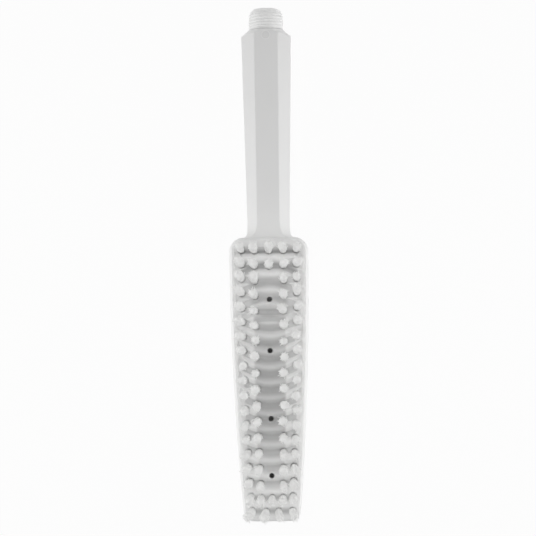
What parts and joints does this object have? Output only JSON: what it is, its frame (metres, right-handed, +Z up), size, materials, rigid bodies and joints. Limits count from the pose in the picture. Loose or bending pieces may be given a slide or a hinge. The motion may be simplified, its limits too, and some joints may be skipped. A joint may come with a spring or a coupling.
{
  "type": "water-fed hand brush",
  "caption": "Long narrow hand brush in one white moulding: tapered head with fanned tufts and water jets, hollow eight-sided handle and male hose thread.",
  "frame": {"origin": "centre of the brush's length and width, on the surface that its back rests on", "axes": "+Y along the hose thread, out of the handle; +Z up, the way the bristles point; X across the head"},
  "size_m": [0.0478, 0.31, 0.053],
  "materials": {
    "moulding": "satin white polypropylene, as moulded",
    "bristle": "white polyester filament, crimped and trimmed",
    "anchor_wire": "flat stainless wire"
  },
  "bodies": {
    "root": {"brush_body": "moulding", "inner_tufts_1": "bristle", "inner_tufts_2": "bristle", "inner_tufts_3": "bristle", "inner_tufts_4": "bristle", "inner_tufts_5": "bristle", "inner_tufts_6": "bristle", "inner_tufts_7": "bristle", "inner_tufts_8": "bristle", "inner_tufts_9": "bristle", "inner_tufts_10": "bristle", "inner_tufts_11": "bristle", "inner_tufts_12": "bristle", "inner_tufts_13": "bristle", "inner_tufts_14": "bristle", "inner_tufts_15": "bristle", "inner_tufts_16": "bristle", "inner_tufts_17": "bristle", "inner_tufts_18": "bristle", "outer_tufts_1": "bristle", "outer_tufts_2": "bristle", "outer_tufts_3": "bristle", "outer_tufts_4": "bristle", "outer_tufts_5": "bristle", "outer_tufts_6": "bristle", "outer_tufts_7": "bristle", "outer_tufts_8": "bristle", "outer_tufts_9": "bristle", "outer_tufts_10": "bristle", "outer_tufts_11": "bristle", "outer_tufts_12": "bristle", "outer_tufts_13": "bristle", "outer_tufts_14": "bristle", "outer_tufts_15": "bristle", "outer_tufts_16": "bristle", "outer_tufts_17": "bristle", "outer_tufts_18": "bristle", "outer_tufts_19": "bristle", "inner_anchors": "anchor_wire", "outer_anchors": "anchor_wire"}
  },
  "joints": []
}
